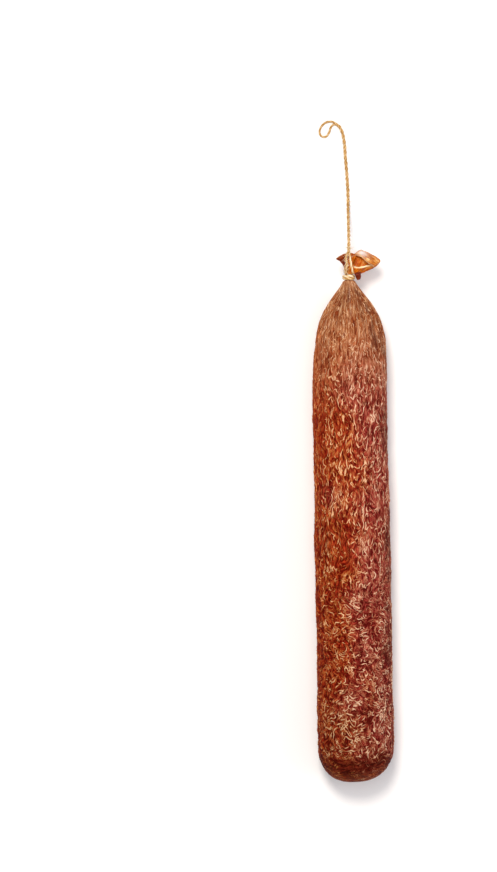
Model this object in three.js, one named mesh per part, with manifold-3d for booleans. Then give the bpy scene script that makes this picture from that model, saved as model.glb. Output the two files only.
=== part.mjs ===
// A dry-cured sausage lying on its side with its shown side up: a firm round body in a wrinkled casing,
// whose gathered end is tied with twine, flares out past the tie, and carries a long hanging loop.
// Millimetres, +Z up. The sausage lies along +Y, tied end forward, with its underside on z = 0.
import * as THREE from "three";
import { ImprovedNoise } from "three/addons/math/ImprovedNoise.js";
import { mergeVertices } from "three/addons/utils/BufferGeometryUtils.js";
import Module from "manifold-3d";

// Body: "along" runs from the round end, at 0, to the middle of the tie, at BODY_LENGTH.
const BODY_LENGTH = 300;
const RADIUS_AT_ROUND_END = 22.7;
const RADIUS_AT_TIED_END = 22;
const DOME_DEPTH = 24;
const DOME_POWER = 2.4;
const DOME_LEAN = -1.4;
const SHOULDER_START = 3;
const SHOULDER_REACH = 18.6;
const SHOULDER_POWER = 1.55;
const FLAT_DEPTH = 0.65;

// Sideways bows of the axis, each [along, reach, size].
const BOWS = [
  [205, 40, -0.4],
  [276, 24, 0.55],
];

// Casing end: the empty casing past the tie.
const NECK_RADIUS = 2.4;
const NECK_HALF_LENGTH = 2.1;
const FLARE_HEIGHT = 15.5;
const WALL = 0.7;
const TOTAL_LENGTH = BODY_LENGTH + FLARE_HEIGHT;

// Twine
const TWINE = 1.1;
const GAP = 0.3;
const TIE_TURNS = 2;
const TIE_PITCH = TWINE + 0.1;

// Mesh fineness
const AROUND = 56;
const BODY_ROWS = 60;
const FLARE_ROWS = 9;
const FLAP_ROWS = 5;
const TWINE_SIDES = 8;

// Relief of the body: broad lumps, each [waves around, wave length along, phase, height],
// single swellings, each [along, degrees round from +X, reach, height], and wrinkles.
const LUMPS = [
  [2, 150, 0.4, 0.16],
  [3, 88, 2.1, 0.15],
  [5, 61, 4.4, 0.12],
  [1, 47, 1.2, 0.1],
  [7, 36, 3.3, 0.09],
  [4, 29, 5.5, 0.09],
];
const SWELLINGS = [
  [37, 0, 9, 0.7],
  [143, 180, 8, 0.5],
  [236, 180, 22, 0.35],
];
const WRINKLE_DEPTH = 0.55;
const WRINKLE_WIDTH = 6.5;
const WRINKLE_LENGTH = 12;
const PLEAT_DEPTH = 0.09;
const PLEAT_REACH = 34;

const AXIS_HEIGHT = RADIUS_AT_TIED_END - FLAT_DEPTH;
const TIE_Y = BODY_LENGTH - TOTAL_LENGTH / 2;
const perlin = new ImprovedNoise();
const wasm = await Module();
wasm.setup();

// The body's radius before its ends round off.
function fullRadius(along) {
  return THREE.MathUtils.mapLinear(along, 0, BODY_LENGTH, RADIUS_AT_ROUND_END, RADIUS_AT_TIED_END);
}

// The smooth radius at a place along the body, from the dome to the neck.
function radiusAt(along) {
  const full = fullRadius(along);
  const intoDome = Math.max(0, 1 - along / DOME_DEPTH);
  const dome = Math.pow(Math.max(0, 1 - Math.pow(intoDome, DOME_POWER)), 1 / DOME_POWER);
  const fromTie = Math.max(0, BODY_LENGTH - along);
  const shoulder = 1 - Math.exp(-Math.pow(fromTie / SHOULDER_REACH, SHOULDER_POWER));
  const pinch = THREE.MathUtils.smoothstep(fromTie, NECK_HALF_LENGTH, 2 * NECK_HALF_LENGTH);
  const start = THREE.MathUtils.lerp(NECK_RADIUS, SHOULDER_START, pinch);
  return dome * (start + (full - SHOULDER_START) * shoulder * pinch);
}

function lumpHeight(angle, along) {
  let height = 0;
  for (const [waves, length, phase, size] of LUMPS) {
    height += size * Math.cos(waves * angle + phase) * Math.cos((2 * Math.PI * along) / length + 1.7 * phase);
  }
  for (const [place, degrees, reach, size] of SWELLINGS) {
    const round = Math.cos(angle - THREE.MathUtils.degToRad(degrees));
    height += size * Math.exp(-Math.pow((along - place) / reach, 2)) * Math.pow(Math.max(0, round), 4);
  }
  return height;
}

// Wrinkles of the dried casing: sharp-crested, longer than they are wide.
function wrinkleHeight(angle, along) {
  const radius = RADIUS_AT_TIED_END;
  const x = (radius * Math.cos(angle)) / WRINKLE_WIDTH;
  const y = along / WRINKLE_LENGTH;
  const z = (radius * Math.sin(angle)) / WRINKLE_WIDTH;
  const bend = perlin.noise(x * 0.5 + 9, y * 0.5, z * 0.5);
  const crest = 1 - 2.2 * Math.abs(perlin.noise(x + bend, y + bend, z - bend));
  return WRINKLE_DEPTH * (crest - 0.6);
}

// Lengthwise folds that gather into the neck, as a share of the radius.
function pleat(angle, along) {
  const fromTie = Math.max(0, BODY_LENGTH - along);
  const fade = Math.exp(-Math.pow(fromTie / PLEAT_REACH, 2)) * Math.min(1, fromTie / 8);
  return PLEAT_DEPTH * fade * (0.6 * Math.cos(13 * angle + 1) + 0.4 * Math.cos(19 * angle + 2.5));
}

// Height of the sausage's axis, so that its whole underside lies on the surface.
function axisHeight(along) {
  return fullRadius(along) - FLAT_DEPTH;
}

// Sideways lean of the axis: its slight bows, and the round end's tip.
function axisOffset(along) {
  let offset = DOME_LEAN * Math.pow(Math.max(0, 1 - along / DOME_DEPTH), 3);
  for (const [place, reach, size] of BOWS) {
    offset += size * Math.exp(-Math.pow((along - place) / reach, 2));
  }
  return offset;
}

function bodyPoint(angle, along) {
  const smooth = radiusAt(along);
  const share = Math.min(1, smooth / fullRadius(along));
  const pressed = Math.pow(Math.max(0, -Math.sin(angle)), 12);
  const relief = (lumpHeight(angle, along) + wrinkleHeight(angle, along)) * Math.pow(share, 3);
  const radius = smooth * (1 + pleat(angle, along)) + relief * (1 - pressed);
  const z = axisHeight(along) + radius * Math.sin(angle);
  return new THREE.Vector3(
    axisOffset(along) + radius * Math.cos(angle),
    along - TOTAL_LENGTH / 2,
    Math.max(0, z),
  );
}

// Places of the body's rows: close together at the dome, where the surface turns fast.
function bodyRows() {
  const rows = [];
  const last = BODY_LENGTH - NECK_HALF_LENGTH;
  for (let i = 1; i <= BODY_ROWS; i++) {
    const t = i / BODY_ROWS;
    rows.push(last * (t - (0.93 * Math.sin(Math.PI * t) * (1 - t)) / Math.PI));
  }
  return rows;
}

// The casing end at sixteen places round it, from the right tip by the side that shows, the left wing
// and the back: where it is folded over, if it is, and its edge. Each is right of the tie, forward of it
// and above the axis.
const CASING_END = [
  { fold: [19.0, 9.6, 0], edge: [14.8, 6.2, 4.6] },
  { fold: [15.4, 6.3, 0.8], edge: [11.2, 7.0, 4.4] },
  { edge: [6.6, 5.6, 4.4] },
  { edge: [3.4, 6.2, 3.2] },
  { edge: [2.7, 9.4, 1.8] },
  { edge: [4.2, 12.9, 0] },
  { edge: [1.4, 12.6, -1.8] },
  { edge: [-2.0, 14.2, 0] },
  { edge: [-7.3, 11.3, 0.2] },
  { edge: [-4.6, 13.2, -2.6] },
  { edge: [-1.2, 14.4, -4.2] },
  { edge: [2.6, 14.6, -5.4] },
  { fold: [6.6, 16.4, -4.2], edge: [5.2, 12.8, -0.2] },
  { fold: [9.7, 16.1, -3.6], edge: [7.6, 11.8, 2.2] },
  { fold: [13.5, 14.3, -2.8], edge: [9.9, 9.7, 4.0] },
  { fold: [17.2, 12.1, -1.6], edge: [12.2, 7.6, 5.4] },
];
const PLAIN_FOLD = 0.8;
const FOLD_ROUNDING = 0.12;
const FLAP_CROWN = 0.7;
const GATHER_DEPTH = 0.3;
const GATHERS = 15;


// How far the right of the casing is lifted forwards, and its left drawn in, on their way from the neck
const LIFT = { place: 0.55, reach: 0.18, size: 0.12 };
const WAIST = { place: 0.35, reach: 0.2, size: 0.14 };

function swell(t, { place, reach, size }) {
  return size * Math.exp(-Math.pow((t - place) / reach, 2));
}

// The casing on its way from the neck: on the right it goes outwards first, on the left forwards first.
function casingAt(turn, t, to) {
  const angle = 2 * Math.PI * turn;
  const right = Math.cos(angle);
  const waist = swell(t, WAIST) * Math.pow(Math.max(0, -right), 4);
  const lift = swell(t, LIFT) * Math.pow(Math.max(0, right), 6);
  const outward = Math.pow(t, 1.15 - 1.2 * right + 0.85 * right * right) - waist;
  const forward = Math.pow(t, 1.3 + 0.5 * right) + lift;
  return new THREE.Vector3(
    THREE.MathUtils.lerp(NECK_RADIUS * Math.cos(angle), to.x, outward),
    THREE.MathUtils.lerp(NECK_HALF_LENGTH, to.y, forward),
    THREE.MathUtils.lerp(NECK_RADIUS * Math.sin(angle), to.z, outward),
  );
}

function closedCurve(pointOf) {
  const points = CASING_END.map((station, i) => pointOf(station, i / CASING_END.length));
  return new THREE.CatmullRomCurve3(points, true, "catmullrom", 0.5);
}

const edgeCurve = closedCurve(({ edge }) => new THREE.Vector3(...edge));
const foldCurve = closedCurve(({ fold, edge }, turn) =>
  fold ? new THREE.Vector3(...fold) : casingAt(turn, PLAIN_FOLD, new THREE.Vector3(...edge)),
);

// A point of the empty casing: turn is 0 to 1 round it, and t is 0 at the tie, 1 at the fold and 2 at
// the edge.
function flarePoint(turn, t) {
  const fold = foldCurve.getPoint(turn);
  const edge = edgeCurve.getPoint(turn);
  const wall = (up) => casingAt(turn, up, fold);
  const flap = (past) => fold.clone().lerp(edge, past).setZ(
    THREE.MathUtils.lerp(fold.z, edge.z, past) + FLAP_CROWN * Math.sin(Math.PI * past),
  );
  let point = t < 1 ? wall(t) : flap(t - 1);
  if (Math.abs(t - 1) < FOLD_ROUNDING) {
    const share = (t - 1 + FOLD_ROUNDING) / (2 * FOLD_ROUNDING);
    const from = wall(1 - FOLD_ROUNDING).lerp(fold, share);
    const to = fold.clone().lerp(flap(FOLD_ROUNDING), share);
    point = from.lerp(to, share);
  }
  const angle = 2 * Math.PI * turn;
  const gather = GATHER_DEPTH * Math.sin(Math.PI * Math.min(1, t)) * Math.cos(GATHERS * angle);
  point.x += gather * Math.cos(angle);
  point.z += gather * Math.sin(angle);
  return point.add(new THREE.Vector3(0, TIE_Y, AXIS_HEIGHT));
}

// The unit normal of the empty casing, outwards.
function flareNormal(turn, t) {
  const step = 1e-3;
  const round = flarePoint(turn + step, t).sub(flarePoint(turn - step, t));
  const up = flarePoint(turn, Math.min(2, t + step)).sub(flarePoint(turn, Math.max(0, t - step)));
  return round.cross(up).normalize().negate();
}

// A point on the casing's outer side, 1, or its inner side, -1. At the tie the two meet.
function flareSide(turn, t, side) {
  const half = (WALL / 2) * Math.min(1, t * 8);
  return flarePoint(turn, t).addScaledVector(flareNormal(turn, t), side * half);
}

// Closes a stack of rings into one surface, with a point at each end.
function skin(first, rings, last) {
  const points = [first, ...rings.flat(), last];
  const faces = [];
  const at = (row, i) => 1 + row * AROUND + (i % AROUND);
  for (let i = 0; i < AROUND; i++) {
    faces.push(0, at(0, i), at(0, i + 1));
    faces.push(points.length - 1, at(rings.length - 1, i + 1), at(rings.length - 1, i));
    for (let row = 0; row + 1 < rings.length; row++) {
      faces.push(at(row, i), at(row + 1, i + 1), at(row, i + 1));
      faces.push(at(row, i), at(row + 1, i), at(row + 1, i + 1));
    }
  }
  const geometry = new THREE.BufferGeometry().setFromPoints(points);
  geometry.setIndex(faces);
  return geometry;
}

function ring(pointAt) {
  return Array.from({ length: AROUND }, (_, i) => pointAt(i / AROUND));
}

// Body and casing end as one surface: up the outside, over the rim and down the inside of the flare.
function sausageGeometry() {
  const rings = bodyRows().map((along) => ring((turn) => bodyPoint(2 * Math.PI * turn, along)));
  const heights = [];
  for (let i = 0; i <= FLARE_ROWS; i++) heights.push(i / FLARE_ROWS);
  for (let i = 1; i <= FLAP_ROWS; i++) heights.push(1 + i / FLAP_ROWS);
  for (const t of heights) rings.push(ring((turn) => flareSide(turn, t, 1)));
  for (const t of heights.reverse()) {
    if (t > 0.15) rings.push(ring((turn) => flareSide(turn, t, -1)));
  }
  const tip = new THREE.Vector3(axisOffset(0), -TOTAL_LENGTH / 2, axisHeight(0));
  const hollow = new THREE.Vector3(0.4, TIE_Y + NECK_HALF_LENGTH + 1.2, AXIS_HEIGHT);
  return skin(tip, rings, hollow);
}

// A small fold of casing that hangs down beside the tie.
function foldTipGeometry() {
  const path = new THREE.CatmullRomCurve3([
    new THREE.Vector3(4.2, 4.6, 0.6),
    new THREE.Vector3(5.4, 2.8, 0.4),
    new THREE.Vector3(6.1, 0.4, 0.2),
    new THREE.Vector3(6.2, -1.6, 0),
  ]);
  const outline = Array.from({ length: TWINE_SIDES }, (_, i) => {
    const angle = (2 * Math.PI * i) / TWINE_SIDES;
    return new THREE.Vector2(1.6 * Math.cos(angle), 1.1 * Math.sin(angle));
  });
  const geometry = new THREE.ExtrudeGeometry(new THREE.Shape(outline), {
    steps: 6,
    bevelEnabled: false,
    extrudePath: path,
  });
  return geometry.translate(0, TIE_Y, AXIS_HEIGHT);
}

// A closed geometry as a solid to join.
function solidOf(geometry) {
  const bare = geometry.clone();
  bare.deleteAttribute("normal");
  bare.deleteAttribute("uv");
  const merged = mergeVertices(bare, 1e-4);
  return new wasm.Manifold(
    new wasm.Mesh({
      numProp: 3,
      vertProperties: new Float32Array(merged.attributes.position.array),
      triVerts: new Uint32Array(merged.index.array),
    }),
  );
}

function geometryOf(solid) {
  const mesh = solid.getMesh();
  const geometry = new THREE.BufferGeometry();
  geometry.setAttribute("position", new THREE.BufferAttribute(mesh.vertProperties, 3));
  geometry.setIndex(new THREE.BufferAttribute(mesh.triVerts, 1));
  return geometry;
}

// A round strand of twine along a path.
function strand(path, steps) {
  const outline = Array.from({ length: TWINE_SIDES }, (_, i) => {
    const angle = (2 * Math.PI * i) / TWINE_SIDES;
    return new THREE.Vector2((TWINE / 2) * Math.cos(angle), (TWINE / 2) * Math.sin(angle));
  });
  return new THREE.ExtrudeGeometry(new THREE.Shape(outline), {
    steps,
    bevelEnabled: false,
    extrudePath: path,
  });
}

// The twine wound round the neck, with its ends on the side that lies down.
function tieGeometry() {
  const points = [];
  const steps = Math.round(TIE_TURNS * 16);
  const radius = NECK_RADIUS + GAP + TWINE / 2;
  for (let i = 0; i <= steps; i++) {
    const turn = TIE_TURNS * (i / steps - 0.5);
    const angle = 2 * Math.PI * turn - Math.PI / 2;
    points.push(
      new THREE.Vector3(
        radius * Math.cos(angle),
        TIE_Y + TIE_PITCH * turn,
        AXIS_HEIGHT + radius * Math.sin(angle),
      ),
    );
  }
  return strand(new THREE.CatmullRomCurve3(points), steps);
}

// Hanging loop: the middle line of its two strands, right of the tie, forward of it, and clear height
// below it. It crosses the casing end, comes down to the surface and ends in a hook.
const LOOP_ROUTE = [
  [0.3, 2.2, 24.4],
  [0.2, 4.5, 25.9],
  [0.2, 8, 26.3],
  [0.1, 13.5, 25.6],
  [0.3, 20, 23.2],
  [0.45, 27, 18.6],
  [0.6, 34, 11.4],
  [0.7, 41, 5],
  [0.8, 48, 1.3],
  [0.7, 56, 0],
  [0.2, 65, 0],
  [-0.4, 73.5, 0],
  [-0.7, 80, 0],
  [-1.4, 85.5, 0],
  [-2.8, 90, 0],
  [-5.3, 92.8, 0],
  [-8.2, 93.4, 0],
  [-11, 91.8, 0],
  [-12.7, 88.8, 0],
  [-13.3, 85.4, 0],
];
const LEG_SPREAD = 2.4;
const LEG_LENGTH = 12;
const EYE_LENGTH = 12;
const EYE_WIDTH = 3.6;
const LOOP_STEPS = 78;
const CLEARANCE = 0.1;

// Half the distance between the loop's two strands, at a distance from the tie along the middle line.
function halfSpread(distance) {
  const closed = (TWINE + GAP) / 2;
  const leg = Math.max(0, 1 - distance / LEG_LENGTH);
  return closed + (LEG_SPREAD - closed) * leg;
}

// One strand up the left, round the eye at the loop's end and back down the right.
function loopGeometry() {
  const middle = new THREE.CatmullRomCurve3(
    LOOP_ROUTE.map(([right, forward, clear]) =>
      new THREE.Vector3(right, TIE_Y + forward, clear + TWINE / 2 + CLEARANCE),
    ),
  );
  const length = middle.getLength();
  const sides = [];
  const place = (share, spread) => {
    const tangent = middle.getTangentAt(share);
    const across = new THREE.Vector3(-tangent.y, tangent.x, 0).normalize();
    return middle.getPointAt(share).addScaledVector(across, spread);
  };
  const runs = 34;
  for (let i = 0; i <= runs; i++) {
    const distance = ((length - EYE_LENGTH) * i) / runs;
    sides.push([distance / length, halfSpread(distance)]);
  }
  const turns = 8;
  for (let i = 1; i < turns; i++) {
    const angle = (Math.PI * i) / turns;
    const share = 1 - (EYE_LENGTH * (1 + Math.cos(angle))) / 2 / length;
    const open = EYE_WIDTH * Math.sin(angle) * Math.pow(Math.sin(angle / 2), 1.2);
    sides.push([share, open + halfSpread(length) * Math.cos(angle / 2)]);
  }
  const left = sides.map(([share, spread]) => place(share, spread));
  const right = sides.map(([share, spread]) => place(share, -spread)).reverse();
  return strand(new THREE.CatmullRomCurve3([...left, place(1, 0), ...right]), LOOP_STEPS);
}

function piece(name, geometry, color, roughness) {
  const material = new THREE.MeshStandardMaterial({ color, roughness, metalness: 0 });
  const mesh = new THREE.Mesh(geometry, material);
  mesh.name = name;
  return mesh;
}

const sausage = new THREE.Group();
const body = solidOf(sausageGeometry()).add(solidOf(foldTipGeometry()));
sausage.add(piece("sausage", geometryOf(body), 0x8c3f22, 0.55));
sausage.add(piece("tie", tieGeometry(), 0xd8b47c, 0.85));
sausage.add(piece("hanging_loop", loopGeometry(), 0xc9a069, 0.9));

export default sausage;
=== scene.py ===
# Looks for a dry-cured sausage that lies on its side: a wrinkled casing, its flared end, and the twine
# that ties it and hangs it. Shapes are worked out in millimetres and written to meshes in metres.
import itertools
import math

import bpy
import numpy as np
from mathutils import Matrix, Vector


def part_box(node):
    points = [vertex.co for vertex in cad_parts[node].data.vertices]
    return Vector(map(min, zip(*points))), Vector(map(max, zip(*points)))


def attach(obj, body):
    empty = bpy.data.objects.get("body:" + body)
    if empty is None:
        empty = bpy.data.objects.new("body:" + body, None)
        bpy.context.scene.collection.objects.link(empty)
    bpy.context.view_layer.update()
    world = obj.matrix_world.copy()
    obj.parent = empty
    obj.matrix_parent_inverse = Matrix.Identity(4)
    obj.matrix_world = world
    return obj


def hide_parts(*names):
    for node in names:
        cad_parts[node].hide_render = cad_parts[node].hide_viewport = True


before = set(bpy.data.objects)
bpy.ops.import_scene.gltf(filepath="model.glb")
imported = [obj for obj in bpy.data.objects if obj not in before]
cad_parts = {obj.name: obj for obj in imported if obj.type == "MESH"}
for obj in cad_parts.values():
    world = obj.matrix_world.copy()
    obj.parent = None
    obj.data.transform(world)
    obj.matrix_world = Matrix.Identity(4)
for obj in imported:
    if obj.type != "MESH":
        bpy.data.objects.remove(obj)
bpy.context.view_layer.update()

MM = 0.001

# Driving dimensions, in millimetres, as the solids have them
RADIUS_AT_ROUND_END = 22.7
RADIUS_AT_TIED_END = 22.0
DOME_DEPTH = 24.0
DOME_POWER = 2.4
DOME_LEAN = -1.4
SHOULDER_START = 3.0
SHOULDER_REACH = 18.6
SHOULDER_POWER = 1.55
FLAT_DEPTH = 0.65
BOWS = [(205, 40, -0.4), (276, 24, 0.55)]
NECK_RADIUS = 2.4
NECK_HALF_LENGTH = 2.1
TWINE = 1.1

# The frame's own places: where the round end is, and the middle of the tie
ROUND_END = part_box("sausage")[0].y / MM
TIE = (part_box("tie")[0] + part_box("tie")[1]) / 2 / MM
BODY_LENGTH = TIE.y - ROUND_END
AXIS_HEIGHT = RADIUS_AT_TIED_END - FLAT_DEPTH

# Broad lumps: waves around, wave length along, phase, height
LUMPS = [
    (2, 150, 0.4, 0.16),
    (3, 88, 2.1, 0.15),
    (5, 61, 4.4, 0.12),
    (1, 47, 1.2, 0.1),
    (7, 36, 3.3, 0.09),
    (4, 29, 5.5, 0.09),
]
# Single swellings: place along, degrees round from +X, reach, height
SWELLINGS = [(37, 0, 9, 0.7), (143, 180, 8, 0.5), (236, 180, 22, 0.35)]
PLEAT_DEPTH = 0.09
PLEAT_REACH = 34.0

# Long creases that run into the neck: degrees round from +X, half width, where they start and end
# from the tie, and depth
CREASES = [
    (38, 0.9, 10, 44, 0.8),
    (46, 1.3, 6, 48, 1.0),
    (55, 0.9, 3, 38, 0.9),
    (66, 0.6, 10, 34, 0.5),
    (96, 0.5, 2, 22, 0.5),
    (128, 0.6, 4, 30, 0.4),
    (205, 0.8, 3, 36, 0.8),
    (262, 0.8, 4, 40, 0.8),
    (318, 0.7, 3, 32, 0.7),
]

# Fineness of the casing's mesh, and of its wrinkles
AROUND = 400
ROW_STEP = 0.38
WRINKLE_WIDTH = 6.5
WRINKLE_LENGTH = 12.0

# Zones along the body, in millimetres from the round end: the edge of the dome that is darkened with
# painted shade, where the crackled lower half turns into the streaked upper one, and where the casing turns
# paler towards the tie
DOME_EDGE = (19, 11)
CRACKLE_EDGE = (75, 165)
PALE_EDGE = (214, 291)

# Crest lines of the casing by kind: half width of the widest, size of their cells in the streaked part
# and in the crackled one, and how near to lengthwise a line has to run to show in the streaked part
CREST_LINES = {
    "close": (0.42, (2.2, 6.0, 2.2), (3.2, 2.4, 3.2), 0.45),
    "wide": (0.43, (3.8, 5.4, 3.8), (4.8, 3.4, 4.8), 0.1),
    "fine": (0.37, (1.5, 4.0, 1.5), (2.0, 1.6, 2.0), 0.6),
}
GROOVE_WIDTH = 0.55
RIDGE_WIDTH = 0.36
# How much wider than a crease the painted shade along it spreads
SHADE_SPREAD = 1.7

# Colours of the casing between its lines, from hollow to crest. The left and right ones are one casing
# colour under painted warm light on the left and painted cool shade on the right; the dome's are darkened
# with painted shade, and the cap's are painted rim light round the shoulder of the round end.
WARM_LIT_LEFT_SKIN = [(0.0, "#560600"), (0.25, "#801C0A"), (0.5, "#A63A1A"), (0.75, "#BE5C2E"), (1.0, "#D08C4C")]
COOL_SHADED_RIGHT_SKIN = [(0.0, "#500608"), (0.25, "#781E1A"), (0.5, "#A03E34"), (0.75, "#BA624C"), (1.0, "#D29070")]
PALE_SKIN = [(0.0, "#6E2C14"), (0.3, "#AA6234"), (0.6, "#CA9266"), (1.0, "#EED2B0")]
SHADED_DOME_SKIN = [(0.0, "#320602"), (0.5, "#60150A"), (1.0, "#8E3E26")]
RIM_LIT_CAP_SKIN = [(0.0, "#6C200E"), (0.5, "#BA4C20"), (1.0, "#D4804A")]


def smoothstep(value, low, high):
    share = np.clip((value - low) / (high - low), 0, 1)
    return share * share * (3 - 2 * share)


def lattice_noise(points, cell, seed):
    """Smooth noise at points, mostly from -1 to 1, from random slopes on a lattice with that cell."""
    place = points / np.asarray(cell, float)
    base = np.floor(place).astype(int)
    share = place - base
    fade = share**3 * (share * (6 * share - 15) + 10)
    base = base - base.reshape(-1, 3).min(0)
    slopes = np.random.default_rng(seed).normal(size=(*(base.reshape(-1, 3).max(0) + 2), 3))
    slopes /= np.linalg.norm(slopes, axis=-1, keepdims=True)
    total = np.zeros(points.shape[:-1])
    for corner in itertools.product((0, 1), repeat=3):
        weight = np.prod(np.where(corner, fade, 1 - fade), axis=-1)
        at = base + corner
        total += weight * (slopes[at[..., 0], at[..., 1], at[..., 2]] * (share - corner)).sum(-1)
    return 1.7 * total


def layered_noise(points, cell, seed, layers=3):
    """Noise with finer layers on it, each half as large and half as strong."""
    cell = np.asarray(cell, float)
    return sum(lattice_noise(points, cell / 2**i, seed + i) / 2**i for i in range(layers))


def evened(field):
    return (field - field.mean()) / field.std()


def make_mesh(name, vertices, faces, material, attributes=None):
    """A smooth-shaded piece that rides on the body. vertices are in millimetres."""
    mesh = bpy.data.meshes.new(name)
    mesh.from_pydata((np.asarray(vertices) * MM).tolist(), [], [tuple(face) for face in faces])
    mesh.polygons.foreach_set("use_smooth", np.ones(len(mesh.polygons), bool))
    for key, values in (attributes or {}).items():
        layer = mesh.attributes.new(key, "FLOAT", "POINT")
        layer.data.foreach_set("value", np.asarray(values, np.float32).ravel())
    mesh.materials.append(material)
    mesh.update()
    piece = bpy.data.objects.new(name, mesh)
    bpy.context.scene.collection.objects.link(piece)
    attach(piece, "root")
    return piece


def ring_faces(rows, columns, first=0):
    """Quads between rows of vertices that close on themselves, with their outside out."""
    row, column = np.meshgrid(np.arange(rows - 1), np.arange(columns), indexing="ij")
    after = (column + 1) % columns
    corners = [(row, column), (row + 1, column), (row + 1, after), (row, after)]
    return np.stack([first + r * columns + c for r, c in corners], -1).reshape(-1, 4)


def closed_skin(rings, start, end):
    """Vertices and faces of a surface through rings of points, closed by a point at each end."""
    rows, columns = rings.shape[:2]
    vertices = np.concatenate([rings.reshape(-1, 3), [start, end]])
    faces = ring_faces(rows, columns).tolist()
    last = (rows - 1) * columns
    for i in range(columns):
        after = (i + 1) % columns
        faces.append((rows * columns, i, after))
        faces.append((rows * columns + 1, last + after, last + i))
    return vertices, faces


# Materials


def colour(code):
    """Linear red, green, blue and alpha of an sRGB code such as "#A04020"."""
    parts = [int(code[i : i + 2], 16) / 255 for i in (1, 3, 5)]
    return [p / 12.92 if p <= 0.04045 else ((p + 0.055) / 1.055) ** 2.4 for p in parts] + [1.0]


class Nodes:
    """A material's nodes, with short calls to add and join them."""

    def __init__(self, name):
        self.material = bpy.data.materials.new(name)
        self.material.use_nodes = True
        self.tree = self.material.node_tree
        self.shader = self.tree.nodes["Principled BSDF"]

    def add(self, kind, values=None, **settings):
        node = self.tree.nodes.new(kind)
        for key, value in settings.items():
            setattr(node, key, value)
        for key, value in (values or {}).items():
            self.put(node.inputs[key], value)
        return node

    def put(self, socket, value):
        if isinstance(value, bpy.types.NodeSocket):
            self.tree.links.new(value, socket)
        else:
            socket.default_value = value

    def attribute(self, name):
        return self.add("ShaderNodeAttribute", attribute_name=name).outputs["Fac"]

    def place(self, scale=(1, 1, 1)):
        """Places on the object in millimetres, scaled along each axis."""
        here = self.add("ShaderNodeTexCoord").outputs["Object"]
        sizes = [s / MM for s in scale]
        return self.add("ShaderNodeMapping", {"Vector": here, "Scale": sizes}).outputs["Vector"]

    def noise(self, where, scale, detail=2.0, roughness=0.5):
        values = {"Vector": where, "Scale": scale, "Detail": detail, "Roughness": roughness}
        return self.add("ShaderNodeTexNoise", values).outputs["Fac"]

    def ramp(self, factor, stops):
        node = self.add("ShaderNodeValToRGB", {"Fac": factor})
        elements = node.color_ramp.elements
        while len(elements) < len(stops):
            elements.new(0.5)
        for element, (at, code) in zip(elements, stops):
            element.position = at
            element.color = colour(code)
        return node.outputs["Color"]

    def mix(self, factor, first, second, blend="MIX"):
        node = self.add("ShaderNodeMix", data_type="RGBA", blend_type=blend)
        for socket, value in zip((node.inputs[0], node.inputs[6], node.inputs[7]), (factor, first, second)):
            self.put(socket, value)
        return node.outputs[2]

    def span(self, value, low, high, to_low=0.0, to_high=1.0):
        values = {"Value": value, "From Min": low, "From Max": high, "To Min": to_low, "To Max": to_high}
        return self.add("ShaderNodeMapRange", values, interpolation_type="SMOOTHSTEP").outputs["Result"]

    def math(self, operation, first, second=0.0):
        node = self.add("ShaderNodeMath", operation=operation)
        self.put(node.inputs[0], first)
        self.put(node.inputs[1], second)
        return node.outputs[0]

    def line(self, name, half_width):
        """How far inside a drawn line a place is, in millimetres, from its distance and its strength."""
        apart = self.math("ABSOLUTE", self.attribute(name))
        reach = self.math("MULTIPLY", self.attribute(name + "_lit"), half_width)
        return self.math("SUBTRACT", reach, apart)

    def finish(self, base, roughness, height=None, bump=0.1, **shader):
        """Sets the shader: bump is the height in millimetres, and the rest are its own sockets."""
        self.put(self.shader.inputs["Base Color"], base)
        self.put(self.shader.inputs["Roughness"], roughness)
        if height is not None:
            values = {"Height": height, "Distance": bump * MM, "Strength": 1.0}
            self.put(self.shader.inputs["Normal"], self.add("ShaderNodeBump", values).outputs["Normal"])
        for key, value in shader.items():
            self.shader.inputs[key.replace("_", " ")].default_value = value
        return self.material


def casing_skin(n, unrolled, along, side, right, near):
    """The casing's colour between its crest lines."""
    long = n.add("ShaderNodeMapping", {"Vector": unrolled, "Scale": (1.7, 0.3, 1.7)}).outputs["Vector"]
    even_threads, long_threads = n.noise(unrolled, 1.3, 3.0, 0.65), n.noise(long, 1.0, 3.0, 0.65)
    threads = n.mix(n.span(along, *CRACKLE_EDGE), even_threads, long_threads)
    strength = n.span(along, *CRACKLE_EDGE, 0.42, 0.27)
    threads = n.math("MULTIPLY", n.span(threads, 0.25, 0.75, -1.0, 1.0), strength)
    tone = n.math("ADD", n.attribute("wrinkle"), threads)
    # Painted warm light on the left of the body and painted cool shade on its right
    skin = n.mix(right, n.ramp(tone, WARM_LIT_LEFT_SKIN), n.ramp(tone, COOL_SHADED_RIGHT_SKIN))
    skin = n.mix(near, skin, n.ramp(tone, PALE_SKIN))
    uneven = n.math("ADD", along, n.math("MULTIPLY", n.attribute("patch"), 1.5))
    # The dome: darker with painted shade at the round end
    skin = n.mix(n.span(uneven, *DOME_EDGE), skin, n.ramp(tone, SHADED_DOME_SKIN))
    # Painted warm light on the lower left of the body
    lower_left = n.math("MULTIPLY", n.span(along, 170, 110), n.span(side, 10, -12))
    skin = n.mix(lower_left, skin, colour("#FFE2DC"), "MULTIPLY")
    # The cap: painted rim light round the shoulder of the round end
    skin = n.mix(n.attribute("rim_lit_cap"), skin, n.ramp(tone, RIM_LIT_CAP_SKIN))
    # Thin dark groove lines: painted shade of the casing's crumples, with no hollow in the mesh under them
    groove = n.span(n.line("groove", GROOVE_WIDTH), -0.06, 0.2, 0.0, 0.6)
    skin = n.mix(groove, skin, n.mix(near, colour("#560A04"), colour("#83381C")))
    # Painted shade along the long creases
    skin = n.mix(n.attribute("crease"), skin, n.mix(near, colour("#4A1408"), colour("#54281A")))
    return n.mix(n.attribute("powder"), skin, colour("#B49690"))


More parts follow.
